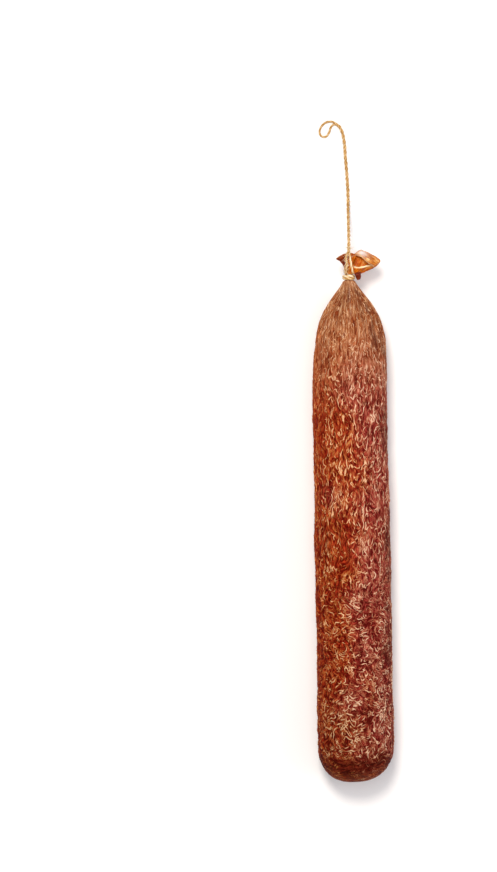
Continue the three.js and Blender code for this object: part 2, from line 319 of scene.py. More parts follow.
def with_crest_lines(n, skin, along, side, right, near):
    """The skin with its crest lines: each has a painted shadow next to it, tan flanks and a bright top,
    which is paler casing with a painted highlight on it.
    """
    # Next to each line lies a painted shadow; on its top, paler casing with a painted highlight
    beside, tan, bright = 0.0, 0.0, 0.0
    thinner = n.span(along, *CRACKLE_EDGE, 0.05, 0.0)
    for name, (half_width, *_) in CREST_LINES.items():
        inside = n.line(name, half_width)
        beside = n.math("MAXIMUM", n.span(inside, -0.6, -0.2), beside)
        inside = n.math("SUBTRACT", inside, thinner)
        tan = n.math("MAXIMUM", n.span(inside, -0.08, 0.12), tan)
        bright = n.math("MAXIMUM", n.span(inside, 0.1, 0.29), bright)
    # The lines are fainter at the left edge, in the painted shade of the creases, and near the round end
    shown = n.span(side, -21, -11, 0.65, 1.0)
    shown = n.math("MULTIPLY", shown, n.span(n.attribute("crease"), 0.1, 0.8, 1.0, 0.3))
    shown = n.math("MULTIPLY", shown, n.span(along, 40, 70, 0.92, 1.0))
    beside = n.math("MULTIPLY", beside, n.span(along, *CRACKLE_EDGE, 0.46, 0.4))
    tan = n.math("MULTIPLY", n.math("MULTIPLY", tan, n.span(along, 50, 110, 0.75, 0.7)), shown)
    bright = n.math("MULTIPLY", n.math("MULTIPLY", bright, n.span(along, *CRACKLE_EDGE, 0.94, 0.82)), shown)
    # The flanks and tops also go from painted warm light on the left to painted cool shade on the right
    flank = n.mix(right, colour("#C0702E"), colour("#C07A58"))
    upper_top = n.mix(right, colour("#EABE90"), colour("#E6C0A2"))
    lower_top = n.mix(right, colour("#F2CA9A"), colour("#ECC8A8"))
    top = n.mix(n.span(along, 165, 90), upper_top, lower_top)
    base = n.mix(beside, skin, colour("#440602"))
    base = n.mix(tan, base, n.mix(near, flank, colour("#DAA676")))
    return n.mix(bright, base, n.mix(near, top, colour("#F4E0C8")))


def casing_material():
    """Dried casing: dark red-brown hollows, tan crests, paler by the tie, painted shade at the round end.
    """
    n = Nodes("dried_casing")
    along = n.attribute("along")
    unrolled = n.add("ShaderNodeAttribute", attribute_name="unrolled").outputs["Vector"]
    across = n.add("ShaderNodeSeparateXYZ", {"Vector": n.place()}).outputs["X"]
    side = n.math("ADD", across, n.math("MULTIPLY", n.attribute("patch"), 5.0))
    # right runs from the body's left to its right, and blends the painted warm light there into painted
    # cool shade
    right = n.span(side, -17, 15)
    near = n.span(along, *PALE_EDGE)
    skin = casing_skin(n, unrolled, along, side, right, near)
    base = with_crest_lines(n, skin, along, side, right, near)

    # Painted shade: darker towards the round end, and more so near it at the left and along the middle
    base = n.mix(n.span(along, 20, 230, 0.17, 0.0), base, colour("#3A1206"))
    middle = n.math("MULTIPLY", n.span(side, -16, -6), n.span(side, 12, 3))
    lower = n.math("ADD", n.span(side, -17, 15, 0.15, 0.01), n.math("MULTIPLY", middle, 0.12))
    base = n.mix(n.math("MULTIPLY", n.span(along, 66, 30), lower), base, colour("#360E04"))
    # Painted warm shade along the left edge
    base = n.mix(n.span(across, -16, -21.5), base, colour("#FFE0C6"), "MULTIPLY")
    # Painted shade in patches along the right edge
    painted_shade = n.span(n.noise(unrolled, 0.07, 2.0, 0.5), 0.48, 0.62, 0.0, 0.45)
    painted_shade = n.math("MULTIPLY", n.span(across, 13, 20), painted_shade)
    base = n.mix(n.math("MULTIPLY", painted_shade, n.span(along, 30, 80)), base, colour("#3A1A10"))
    grain = n.noise(n.place((1, 0.5, 1)), 4.0, 2.0, 0.6)
    roughness = n.span(grain, 0.2, 0.8, 0.45, 0.68)
    return n.finish(base, roughness, grain, 0.12, Specular_IOR_Level=0.015, Subsurface_Weight=0.02,
                    Subsurface_Radius=(0.004, 0.0012, 0.0006), Subsurface_Scale=0.5)


def film_material():
    """Empty casing: a thin orange film, tan where its outside shows, with a cream cut edge,
    and white powder with a painted highlight on the flap.
    """
    n = Nodes("casing_film")
    threads = n.noise(n.place(), 1.6, 3.0, 0.6)
    tone = n.math("ADD", n.attribute("streak"), n.span(threads, 0.3, 0.7, -0.08, 0.08))
    orange = n.ramp(tone, [(0.1, "#742002"), (0.4, "#B25004"), (0.65, "#D0720C"), (0.95, "#F2AE50")])
    outside = n.ramp(tone, [(0.0, "#80380A"), (0.4, "#B6641E"), (0.7, "#D28C44"), (1.0, "#ECC690")])
    deep = n.ramp(tone, [(0.1, "#340602"), (0.5, "#641C04"), (0.9, "#984010")])
    # White powder with a painted highlight on the flap
    powder_and_highlight = n.mix(n.math("MULTIPLY", n.attribute("bloom_and_highlight"), 0.8), outside, colour("#F6ECE8"))
    body = n.mix(n.attribute("dark"), n.mix(n.attribute("tan"), orange, powder_and_highlight), deep)
    base = n.mix(n.attribute("rim"), body, colour("#F4DCAE"))
    height = n.noise(n.place(), 3.0, 2.0, 0.6)
    return n.finish(base, 0.38, height, 0.06, Specular_IOR_Level=0.12, Subsurface_Weight=0.16,
                    Subsurface_Radius=(0.0035, 0.0012, 0.0003), Subsurface_Scale=1.0)


def twine_material():
    """Natural twine: pale straw with a painted highlight on top of its plies, brown with painted shade
    between them, and single dark fibres.
    """
    n = Nodes("twine_fibre")
    fibres = n.noise(n.place(), 3.2, 3.0, 0.7)
    patches = n.noise(n.place(), 0.12, 2.0, 0.5)
    # The plies' tops get painted highlight and the gaps between them painted shade, from how high each
    # point lies
    tone = n.math("ADD", n.math("MULTIPLY", n.attribute("ply"), 0.6), n.span(fibres, 0.25, 0.75, -0.1, 0.3))
    tone = n.math("ADD", tone, n.span(patches, 0.3, 0.7, -0.08, 0.08))
    # Paler where the twine is worn, and with a painted highlight on top of the tie
    tone = n.math("ADD", tone, n.attribute("bleach_and_highlight"))
    base = n.ramp(tone, [(0.0, "#6C4414"), (0.3, "#9E7030"), (0.65, "#C69A5A"), (1.0, "#F4E2BE")])
    return n.finish(base, 0.82, fibres, 0.1, Specular_IOR_Level=0.2, Sheen_Weight=0.2)


def floor_material():
    n = Nodes("floor_paint")
    cloud = n.noise(n.place(), 0.004, 2.0, 0.5)
    base = n.ramp(cloud, [(0.0, "#F1F0EE"), (1.0, "#F7F6F4")])
    return n.finish(base, 0.9, Specular_IOR_Level=0.1)


# Camera, lights and floor

IMAGE_WIDTH, IMAGE_HEIGHT = 497, 872
MM_A_PIXEL = 0.595
TIE_PIXEL = (348.7, 277.5)
LEAN_DEGREES = 0.87
CAMERA_DISTANCE = 2300.0
SENSOR = 36.0
FLOOR_SIZE = 6000.0
FLOOR_GAP = 0.2


def make_camera():
    """Looks straight down on the sausage, with its tied end up in the image."""
    lean = math.radians(LEAN_DEGREES)
    right = Vector((math.cos(lean), -math.sin(lean), 0))
    up = Vector((math.sin(lean), math.cos(lean), 0))
    across = (IMAGE_WIDTH / 2 - TIE_PIXEL[0]) * MM_A_PIXEL
    down = (IMAGE_HEIGHT / 2 - TIE_PIXEL[1]) * MM_A_PIXEL
    centre = Vector((TIE.x, TIE.y, AXIS_HEIGHT)) + across * right - down * up
    data = bpy.data.cameras.new("camera")
    data.sensor_fit = "VERTICAL"
    data.sensor_height = SENSOR
    data.lens = SENSOR * CAMERA_DISTANCE / (IMAGE_HEIGHT * MM_A_PIXEL)
    data.clip_end = 100
    camera = bpy.data.objects.new("camera", data)
    turn = Matrix((right, up, (0, 0, 1))).transposed()
    place = (centre + Vector((0, 0, CAMERA_DISTANCE))) * MM
    camera.matrix_world = Matrix.Translation(place) @ turn.to_4x4()
    bpy.context.scene.collection.objects.link(camera)
    bpy.context.scene.camera = camera


def make_light(name, place, aim, size, watts, code):
    data = bpy.data.lights.new(name, "AREA")
    data.shape = "DISK"
    data.size = size
    data.energy = watts
    data.color = colour(code)[:3]
    light = bpy.data.objects.new(name, data)
    light.location = place
    light.rotation_euler = (Vector(aim) - Vector(place)).to_track_quat("-Z", "Y").to_euler()
    bpy.context.scene.collection.objects.link(light)


def make_studio():
    make_light("key", (-0.2, 0.6, 1.5), (0, 0, 0.02), 0.45, 17, "#FFF8F0")
    make_light("fill", (1.1, -0.1, 1.0), (0, 0, 0.02), 0.9, 5, "#F6EEF4")
    make_light("top", (-0.1, 0.1, 1.9), (0, 0, 0.02), 1.2, 9, "#FFFFFF")
    world = bpy.data.worlds.new("studio")
    world.use_nodes = True
    world.node_tree.nodes["Background"].inputs["Color"].default_value = colour("#FAFAFF")
    world.node_tree.nodes["Background"].inputs["Strength"].default_value = 0.5
    bpy.context.scene.world = world
    bpy.context.scene.view_settings.view_transform = "Standard"
    half, low = FLOOR_SIZE / 2, -FLOOR_GAP
    corners = [(-half, -half, low), (half, -half, low), (half, half, low), (-half, half, low)]
    mesh = bpy.data.meshes.new("floor")
    mesh.from_pydata([[c * MM for c in corner] for corner in corners], [], [(0, 1, 2, 3)])
    mesh.materials.append(floor_material())
    floor = bpy.data.objects.new("floor", mesh)
    bpy.context.scene.collection.objects.link(floor)


# Twine: the hanging loop, the tie and their loose fibres

# Middle line of the loop's two strands, in metres: right of the tie, forward of it, and clear height
LOOP_ROUTE = [
    (0.0003, 0.0022, 0.0244),
    (0.0002, 0.0045, 0.0259),
    (0.0002, 0.008, 0.0263),
    (0.0001, 0.0135, 0.0256),
    (0.0003, 0.020, 0.0232),
    (0.00045, 0.027, 0.0186),
    (0.0006, 0.034, 0.0114),
    (0.0007, 0.041, 0.005),
    (0.0008, 0.048, 0.0013),
    (0.0007, 0.056, 0.0),
    (0.0002, 0.065, 0.0),
    (-0.0004, 0.0735, 0.0),
    (-0.0007, 0.080, 0.0),
    (-0.0014, 0.0855, 0.0),
    (-0.0028, 0.090, 0.0),
    (-0.0053, 0.0928, 0.0),
    (-0.0082, 0.0934, 0.0),
    (-0.011, 0.0918, 0.0),
    (-0.0127, 0.0888, 0.0),
    (-0.0133, 0.0854, 0.0),
]
LEG_SPREAD = 1.9
LEG_LENGTH = 12.0
LEG_BULGE = 1.1
LEG_BULGE_PLACE = 10.0
LEG_FUZZ = 20.0
EYE_LENGTH = 12.0
EYE_WIDTH = 3.6
CLEARANCE = 0.1
STRAND_APART = 0.8
LOOP_STRAND = 1.24
TIE_STRAND = 1.7
TIE_TURNS = 2.06
TWISTS = 14
PLY_PITCH = 3.4
STRAND_SIDES = 14
STRAND_STEP = 0.3
FIBRE_POINTS = 6
FIBRE_SIDES = 3
FUZZ_RADIUS = 0.055
FRAY_RADIUS = 0.13


def curve_between(a, b, c, d, share):
    """Points of a smooth curve, shares of the way from b to c, with a before them and d after."""
    return 0.5 * (2 * b + (c - a) * share + (2 * a - 5 * b + 4 * c - d) * share**2
                  + (3 * b - a - 3 * c + d) * share**3)


def smooth_path(points, step):
    """Points a step apart on a smooth curve through points."""
    points = np.asarray(points, float)
    padded = np.concatenate([[2 * points[0] - points[1]], points, [2 * points[-1] - points[-2]]])
    share = np.linspace(0, 1, 24, endpoint=False)[:, None]
    stretches = zip(padded, padded[1:], padded[2:], padded[3:])
    pieces = [curve_between(*stretch, share) for stretch in stretches]
    return even_path(np.concatenate(pieces + [points[-1:]]), step)


def even_path(points, step):
    lengths = np.concatenate([[0], np.cumsum(np.linalg.norm(np.diff(points, axis=0), axis=1))])
    places = np.linspace(0, lengths[-1], max(2, int(round(lengths[-1] / step)) + 1))
    return np.stack([np.interp(places, lengths, column) for column in points.T], 1)


def path_length(points):
    return float(np.linalg.norm(np.diff(points, axis=0), axis=1).sum())


def carried_frames(path):
    """Tangents, and two crosswise directions carried along the path without turning about it."""
    tangents = np.gradient(path, axis=0)
    tangents /= np.linalg.norm(tangents, axis=1, keepdims=True)
    side = np.cross(tangents[0], (0.3, 0.2, 1.0))
    sides = []
    for tangent in tangents:
        side = side - tangent * (side @ tangent)
        side = side / np.linalg.norm(side)
        sides.append(side)
    sides = np.array(sides)
    return tangents, sides, np.cross(tangents, sides)


def strand_mesh(path, diameter, seed):
    """A strand of two twisted plies along a path: vertices, faces and how high each vertex lies."""
    tangents, sides, ups = carried_frames(path)
    distance = np.arange(len(path))[:, None] * STRAND_STEP
    angle = np.linspace(0, 2 * np.pi, STRAND_SIDES, endpoint=False)[None, :]
    ply = np.abs(np.cos(angle - np.pi * distance / PLY_PITCH)) ** 0.7
    across = np.cos(angle)[..., None] * sides[:, None, :] + np.sin(angle)[..., None] * ups[:, None, :]
    radius = diameter / 2 * (0.78 + 0.22 * ply)
    radius = radius * (1 + 0.12 * lattice_noise(path[:, None, :] + across, 0.9, seed))
    rings = path[:, None, :] + radius[..., None] * across
    taper = 0.35 * diameter * tangents
    vertices, faces = closed_skin(rings[:, ::-1], path[0] - taper[0], path[-1] + taper[-1])
    return vertices, faces, np.concatenate([ply[:, ::-1].ravel(), [0.5, 0.5]])


def leg_offsets(distance):
    """How far the left and right legs stand off the loop's middle line near the tie."""
    spread = LEG_SPREAD * np.clip(1 - distance / LEG_LENGTH, 0, 1) ** 1.3
    bulge = LEG_BULGE * np.exp(-(((distance - LEG_BULGE_PLACE) / 2.6) ** 2))
    return spread + bulge, spread + 0.15 * bulge


def loop_path():
    """The loop's single strand: out from the tie, round the eye at its end and back, twisted on itself."""
    route = np.array(LOOP_ROUTE) / MM + [TIE.x, TIE.y, TWINE / 2 + CLEARANCE]
    middle = smooth_path(route, 0.02)
    length = path_length(middle)
    closed = STRAND_APART / 2
    run = np.linspace(0, length - EYE_LENGTH, 600)
    sweep = np.linspace(0, np.pi, 120)[1:]
    distance = np.concatenate([run, length - EYE_LENGTH * (1 + np.cos(sweep)) / 2])
    eye = np.concatenate([0 * run, EYE_WIDTH * np.sin(sweep) * np.sin(sweep / 2) ** 1.2])
    ending = np.concatenate([0 * run + 1, np.cos(sweep / 2)])
    places = np.linspace(0, length, len(middle))
    centre = np.stack([np.interp(distance, places, middle[:, i]) for i in range(3)], 1)
    tangents = np.gradient(middle, axis=0)
    tangents = np.stack([np.interp(distance, places, tangents[:, i]) for i in range(3)], 1)
    tangents /= np.linalg.norm(tangents, axis=1, keepdims=True)
    across = np.stack([-tangents[:, 1], tangents[:, 0], 0 * distance], 1)
    across /= np.linalg.norm(across, axis=1, keepdims=True)
    above = np.cross(tangents, across)
    twisted = np.clip((distance - LEG_LENGTH) / (length - EYE_LENGTH - LEG_LENGTH), 0, 1)
    turn = 2 * np.pi * TWISTS * twisted
    lift = closed * smoothstep(twisted, 0.0, 0.03) * (1 - smoothstep(twisted, 0.97, 1.0))
    centre = centre + lift[:, None] * [0, 0, 1]
    crosswise = np.cos(turn)[:, None] * across + np.sin(turn)[:, None] * above
    sides = []
    for way, legs in zip((1, -1), leg_offsets(distance)):
        reach = way * (closed * ending + legs + eye)
        sides.append(centre + reach[:, None] * crosswise)
    return even_path(np.concatenate([sides[0], sides[1][::-1]]), STRAND_STEP)


def tie_path():
    """Two turns round the neck: the forward one level, the other sagging where it shows."""
    t = np.linspace(0, TIE_TURNS, 320)
    angle = 2 * np.pi * t - np.pi / 2
    radius = NECK_RADIUS + 0.3 + TWINE / 2
    facing = np.clip(np.sin(angle), 0, 1)
    second = smoothstep(t, 0.86, 1.14)
    forward = 0.72 * (1 - second) - (0.25 + 0.6 * facing) * second
    outward = 1 + 0.05 * facing
    x = TIE.x + radius * np.cos(angle) * 0.93
    z = AXIS_HEIGHT + radius * outward * np.sin(angle)
    return even_path(np.stack([x, TIE.y + forward, z], 1), STRAND_STEP)


def fibre_mesh(path, count, seed, longest, radius):
    """Loose fibres that stand off a strand: thin curved threads with three sides."""
    random = np.random.default_rng(seed)
    tangents, sides, ups = carried_frames(path)
    vertices, faces = [], []
    for _ in range(count):
        at = random.integers(2, len(path) - 2)
        angle = random.uniform(0, 2 * np.pi)
        out = np.cos(angle) * sides[at] + np.sin(angle) * ups[at]
        way = tangents[at] * random.choice((-1, 1))
        length = longest * random.uniform(0.25, 1) ** 1.5
        curl = random.uniform(-1.2, 1.2)
        start = path[at] + out * TWINE * 0.42
        bend = np.cross(way, out)
        t = np.linspace(0, 1, FIBRE_POINTS)[:, None]
        lean = random.uniform(0.35, 0.9)
        lying, standing = t * (1 - lean) * way, np.sin(t * 1.5) * lean * out
        line = start + length * (lying + standing + curl * t**2 * 0.5 * bend)
        line[:, 2] = np.maximum(line[:, 2], radius + 0.02)
        first = len(vertices)
        for k, point in enumerate(line):
            thick = radius * (1 - 0.6 * k / (FIBRE_POINTS - 1))
            for side in range(FIBRE_SIDES):
                a = 2 * np.pi * side / FIBRE_SIDES
                vertices.append(point + thick * (np.cos(a) * bend + np.sin(a) * out))
        last = len(vertices) - 1
        for low in range(first, last + 1 - FIBRE_SIDES, FIBRE_SIDES):
            high = low + FIBRE_SIDES
            for side in range(FIBRE_SIDES):
                after = (side + 1) % FIBRE_SIDES
                faces.append((low + side, high + side, high + after, low + after))
        faces.append((first, first + 1, first + 2))
        faces.append((last, last - 1, last - 2))
    return np.array(vertices), faces


def make_fibres(name, path, count, longest, seed, material, bleach_and_highlight=0.0, radius=FUZZ_RADIUS):
    """Fine fuzz, and a few thicker frayed ends that curl."""
    fuzz, faces = fibre_mesh(path, count, seed, longest, radius)
    frays, fray_faces = fibre_mesh(path, count // 40, seed + 1, 2.2 * longest, FRAY_RADIUS)
    faces = faces + [tuple(i + len(fuzz) for i in face) for face in fray_faces]
    vertices = np.concatenate([fuzz, frays])
    ply = np.concatenate([np.full(len(fuzz), 0.75), np.full(len(frays), 0.3)])
    fibres = make_mesh(name, vertices, faces, material, {"ply": ply, "bleach_and_highlight": np.full(len(ply), bleach_and_highlight)})
    return fibres


def make_strand(name, path, diameter, seed, bleach_and_highlight, material, node):
    """A strand that replaces a node, paler at each point of its path by the amount given there, from wear
    and, on the tie, from a painted highlight.
    """
    vertices, faces, ply = strand_mesh(path, diameter, seed)
    whole = np.concatenate([np.repeat(bleach_and_highlight, STRAND_SIDES), bleach_and_highlight[[0, -1]]])
    strand = make_mesh(name, vertices, faces, material, {"ply": ply, "bleach_and_highlight": whole})
    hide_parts(node)
    return strand


def make_twine():
    material = twine_material()
    path = loop_path()
    length = path_length(path)
    distance = np.linspace(0, length, len(path))
    from_tie = np.minimum(distance, length - distance)
    bleach_and_highlight = 0.1 * np.exp(-((from_tie / 26) ** 2))
    bleach_and_highlight += 0.3 * np.exp(-(((length - distance - 6) / 5) ** 2))
    loop = make_strand("hanging_twine", path, LOOP_STRAND, 71, bleach_and_highlight, material, "hanging_loop")
    fibres = make_fibres("hanging_twine_fibres", path, 900, 1.5, 72, material)
    leg = path[: int(LEG_FUZZ / STRAND_STEP)]
    leg_fibres = make_fibres("twine_leg_fibres", leg, 160, 3.4, 77, material, bleach_and_highlight=0.35, radius=0.17)

    path = tie_path()
    place = np.linspace(0, TIE_TURNS, len(path))
    # The tie is a little paler, with a painted highlight on top of its forward turn
    bleach_and_highlight = 0.08 + 0.32 * np.exp(-(((place - 0.52) / 0.14) ** 2))
    make_strand("tie_twine", path, TIE_STRAND, 74, bleach_and_highlight, material, "tie")
    make_fibres("tie_twine_fibres", path, 130, 1.0, 75, material, bleach_and_highlight=0.1)


# Body


def full_radius(along):
    share = along / BODY_LENGTH
    return RADIUS_AT_ROUND_END + (RADIUS_AT_TIED_END - RADIUS_AT_ROUND_END) * share


def radius_at(along):
    """The smooth radius, from the dome to the neck."""
    dome = np.clip(1 - np.clip(1 - along / DOME_DEPTH, 0, 1) ** DOME_POWER, 0, 1) ** (1 / DOME_POWER)
    from_tie = np.clip(BODY_LENGTH - along, 0, None)
    shoulder = 1 - np.exp(-((from_tie / SHOULDER_REACH) ** SHOULDER_POWER))
    pinch = smoothstep(from_tie, 0.5 * NECK_HALF_LENGTH, 1.2 * NECK_HALF_LENGTH)
    start = NECK_RADIUS + (SHOULDER_START - NECK_RADIUS) * pinch
    return dome * (start + (full_radius(along) - SHOULDER_START) * shoulder * pinch)


def axis_offset(along):
    bow = sum(size * np.exp(-(((along - place) / reach) ** 2)) for place, reach, size in BOWS)
    return bow + DOME_LEAN * np.clip(1 - along / DOME_DEPTH, 0, 1) ** 3


def lump_height(angle, along):
    height = 0 * angle * along
    for waves, length, phase, size in LUMPS:
        height += size * np.cos(waves * angle + phase) * np.cos(2 * np.pi * along / length + 1.7 * phase)
    for place, degrees, reach, size in SWELLINGS:
        facing = np.clip(np.cos(angle - math.radians(degrees)), 0, 1) ** 4
        height += size * np.exp(-(((along - place) / reach) ** 2)) * facing
    return height


def body_rows():
    """Places along the body that are even steps apart on its surface, from near the round end's tip."""
    along = (BODY_LENGTH + NECK_HALF_LENGTH) * np.linspace(0, 1, 20001) ** 3
    radius = radius_at(along)
    surface = np.concatenate([[0], np.cumsum(np.hypot(np.diff(along), np.diff(radius)))])
    places = np.arange(ROW_STEP, surface[-1], ROW_STEP)
    return np.interp(places, surface, along)


def at_places(field, row, column):
    """Values of a field on the grid at fractional rows and columns. Columns run on round the body."""
    row = np.clip(row, 0, field.shape[0] - 1.001)
    low_row = row.astype(int)
    low_column = np.floor(column).astype(int)
    r = row - low_row
    c = column - low_column
    low_column %= AROUND
    next_column = (low_column + 1) % AROUND
    first = field[low_row, low_column] * (1 - c) + field[low_row, next_column] * c
    second = field[low_row + 1, low_column] * (1 - c) + field[low_row + 1, next_column] * c
    return first * (1 - r) + second * r


def smeared(field, lean, column_width, half_length):
    """The field drawn out along the lines that lean, an angle from lengthwise, gives at each place."""
    total = field.copy()
    steps = int(half_length / ROW_STEP)
    for way in (1, -1):
        row, column = np.indices(field.shape).astype(float)
        for k in range(1, steps + 1):
            angle = at_places(lean, row, column)
            width = np.interp(row, np.arange(len(column_width)), column_width)
            row += way * np.cos(angle)
            column += way * np.sin(angle) * ROW_STEP / width
            total += np.cos(np.pi / 2 * k / (steps + 1)) ** 2 * at_places(field, row, column)
    return evened(total)


def noise_vectors(places, cell, seed):
    return np.stack([lattice_noise(places, cell, seed + i) for i in range(3)], -1)


def warped(places, reach, cell, seed):
    """Places pushed about by up to reach, in eddies of that cell."""
    return places + reach * noise_vectors(places, cell, seed)


def crumpled(places, reach, cell, seed):
    """Places pushed about like warped ones, with sharp kinks."""
    return places + 2 * reach * np.abs(noise_vectors(places, cell, seed))


def level_distance(field, column_width):
    """Distance in millimetres to the lines where a field on the body's grid passes through zero, and how
    much the lines run lengthwise, from 0 to 1."""
    lengthwise = np.gradient(field, ROW_STEP, axis=0)
    crosswise = (np.roll(field, -1, 1) - np.roll(field, 1, 1)) / (2 * column_width[:, None])
    slope = np.hypot(lengthwise, crosswise)
    return np.clip(field / (slope + 0.3 * slope.mean()), -1.5, 1.5), np.abs(crosswise) / (slope + 1e-6)


def casing_streaks(places, from_tie, near_tie, crackled, dome, column_width):
    """Fine and broad streaks: noise drawn out the way the casing's threads run."""
    wander = 0.16 + 0.9 * smoothstep(from_tie, 35, 130) + 0.8 * crackled
    lean = wander * 1.3 * layered_noise(places, (8, 12, 8), 11, 2)
    lean = lean * (1 - dome) + (np.pi / 2 + 0.5 * lattice_noise(places, 7, 13)) * dome
    grain = lattice_noise(places, 0.75, 21)
    fine = smeared(grain, lean, column_width, 2.2)
    fine = fine + near_tie * (smeared(grain, lean, column_width, 5.5) - fine)
    broad = smeared(lattice_noise(places, 1.6, 22), lean, column_width, 4.2)
    return fine, broad


def round_end_face(angle, along, radius):
    """How much a place is on the round end's own face, from 0 to 1."""
    slope = np.gradient(radius, ROW_STEP, axis=0)
    facing = np.sin(angle) * np.sqrt(np.clip(1 - slope**2, 0, 1))
    endward = np.where(along < DOME_DEPTH, slope, 0)
    return smoothstep(endward, 0.35, 0.85) * smoothstep(np.abs(facing), 0.74, 0.46)


def crest_lines(places, along, near_tie, crackled, quiet, clusters, column_width):
    """Distance to the lines of each kind and to the grooves, and how strong they are there."""
    eddies = 2.3 + 2.4 * smoothstep(along, 80, 20)[..., None]
    ripples = 0.45 + 0.2 * crackled[..., None]
    swirled = crumpled(warped(places, eddies, (8, 13, 8), 31), ripples, (2.8, 3.2, 2.8), 34)

    def blended(where, long_cell, even_cell, seed):
        long = lattice_noise(where, long_cell, seed)
        return long + crackled * (lattice_noise(where, even_cell, seed + 40) - long)

    lit = blended(places, (2.5, 5.6, 2.5), 4.2, 41)
    fine_lit = blended(places, (2, 3.4, 2), 3.0, 43)
    strengths = {
        "close": quiet * smoothstep(lit + 0.14 * clusters, -0.35, 0.7),
        "wide": quiet * smoothstep(-lit + 0.12 * clusters, -0.1, 0.8),
        "fine": (0.5 + 0.5 * quiet) * smoothstep(fine_lit, -0.2, 0.7),
    }
    reads = {}
    for seed, (name, (_, long_cell, even_cell, straight)) in enumerate(CREST_LINES.items(), 36):
        field = blended(swirled, long_cell, even_cell, seed)
        reads[name], lengthwise = level_distance(field, column_width)
        straight = straight - 1.1 * crackled
        reads[name + "_lit"] = strengths[name] * smoothstep(lengthwise, straight - 0.4, straight + 0.25)
    # Lines of painted crumple shade, drawn as dark grooves in colour only
    field = blended(places, (1.7, 12, 1.7), (3.4, 2.8, 3.4), 39)
    reads["groove"] = level_distance(field, column_width)[0]
    reads["groove_lit"] = smoothstep(blended(places, (1.8, 6, 1.8), 2.4, 44), -0.35, 0.5)
    reads["groove_lit"] = reads["groove_lit"] * (0.62 + 0.38 * near_tie)
    return reads


def creases_at(places, angle, from_tie, radius):
    """Depth of the long creases, and the wider painted shade along them."""
    crease, painted_shade = 0, 0
    waver = 0.25 * lattice_noise(places, 9, 54)
    for degrees, width, start, end, depth in CREASES:
        off = (angle - math.radians(degrees) + waver) * radius
        deep = depth * smoothstep(from_tie, start, start + 5) * smoothstep(from_tie, end, end - 12)
        crease = np.maximum(crease, deep * np.exp(-((off / width) ** 2)))
        painted_shade = np.maximum(painted_shade, deep * np.exp(-((off / (SHADE_SPREAD * width)) ** 2)))
    return crease, painted_shade


def casing_relief(places, angle, along, radius):
    """Height of the casing's wrinkles, in millimetres, and what its material reads."""
    from_tie = BODY_LENGTH - along
    near_tie = np.exp(-((from_tie / 50) ** 2))
    dome = smoothstep(along + 2 * lattice_noise(places, 7, 56), *DOME_EDGE)
    crackled = smoothstep(along + 16 * lattice_noise(places, (16, 22, 16), 55), *CRACKLE_EDGE[::-1])
    crisp = smoothstep(along, 85, 45)
    column_width = np.maximum(radius[:, 0] * 2 * np.pi / AROUND, 0.02)
    fine, broad = casing_streaks(places, from_tie, near_tie, crackled, dome, column_width)

    rim_lit_cap = round_end_face(angle, along, radius)
    clusters = evened(layered_noise(places, (6, 9, 6), 42, 2))
    knots = evened(layered_noise(places, (9, 8, 9), 57, 2)) + 0.06 * places[..., 0]
    loose = 1 - smoothstep(knots, -0.5, 0.9)
    quiet = 1 - 0.25 * (crackled - crisp) * loose + 0.1 * crackled + 0.06 * crisp
    quiet = quiet * (1 - 0.72 * near_tie - 0.8 * dome * (1 - 0.7 * rim_lit_cap))
    reads = crest_lines(places, along, near_tie, crackled, quiet, clusters, column_width)
    reads["groove_lit"] = reads["groove_lit"] * (1 - 0.3 * dome)
    ridge = 0
    for name in CREST_LINES:
        ridge = np.maximum(ridge, reads[name + "_lit"] * np.exp(-((reads[name] / RIDGE_WIDTH) ** 2)))

    bend = lattice_noise(places, (13, 24, 13), 51)[..., None]
    wrinkle_cell = (WRINKLE_WIDTH, WRINKLE_LENGTH, WRINKLE_WIDTH)
    ridged = 0.7 - 2.2 * np.abs(lattice_noise(places + 3 * bend, wrinkle_cell, 52))
    crease, painted_shade = creases_at(places, angle, from_tie, radius)
    height = 0.26 * ridged + 0.1 * broad + 0.08 * fine + 0.42 * ridge
    height = (height - 0.3) * (1 - 0.4 * near_tie - 0.4 * dome) - 0.7 * crease
    streaks = (0.2 - 0.06 * near_tie + 0.1 * crackled) * fine + (0.12 - 0.08 * near_tie) * broad
    reads["wrinkle"] = 0.36 + streaks + 0.07 * ridged + 0.06 * clusters
    # crease: the painted shade along the long creases
    reads["crease"] = np.clip((0.65 + 0.35 * fine) * painted_shade, 0, 0.75)
    powder = np.exp(-(((from_tie - 11.5) / 4.5) ** 2)) * np.exp(-(((places[..., 0] + 1) / 1.5) ** 2))
    reads["powder"] = np.clip(powder * (0.6 + 0.7 * fine), 0, 0.75) * (np.sin(angle) > 0)
    reads["patch"] = evened(lattice_noise(places, (16, 26, 16), 61))
    # Where the painted rim light goes, on the round end's sides
    reads["rim_lit_cap"] = np.clip(rim_lit_cap * (0.8 + 0.12 * fine), 0, 1)
    return height, reads


def pleats(angle, along):
    """Lengthwise folds that gather into the neck, as a share of the radius."""
    from_tie = np.clip(BODY_LENGTH - along, 0, None)
    fade = np.exp(-((from_tie / PLEAT_REACH) ** 2)) * np.clip(from_tie / 8, 0, 1)
    broad = 0.6 * np.cos(13 * angle + 1) + 0.4 * np.cos(19 * angle + 2.5)
    close = 0.35 * np.cos(31 * angle + 0.6) + 0.25 * np.cos(47 * angle + 4)
    return PLEAT_DEPTH * fade * (broad + close - 1.0)


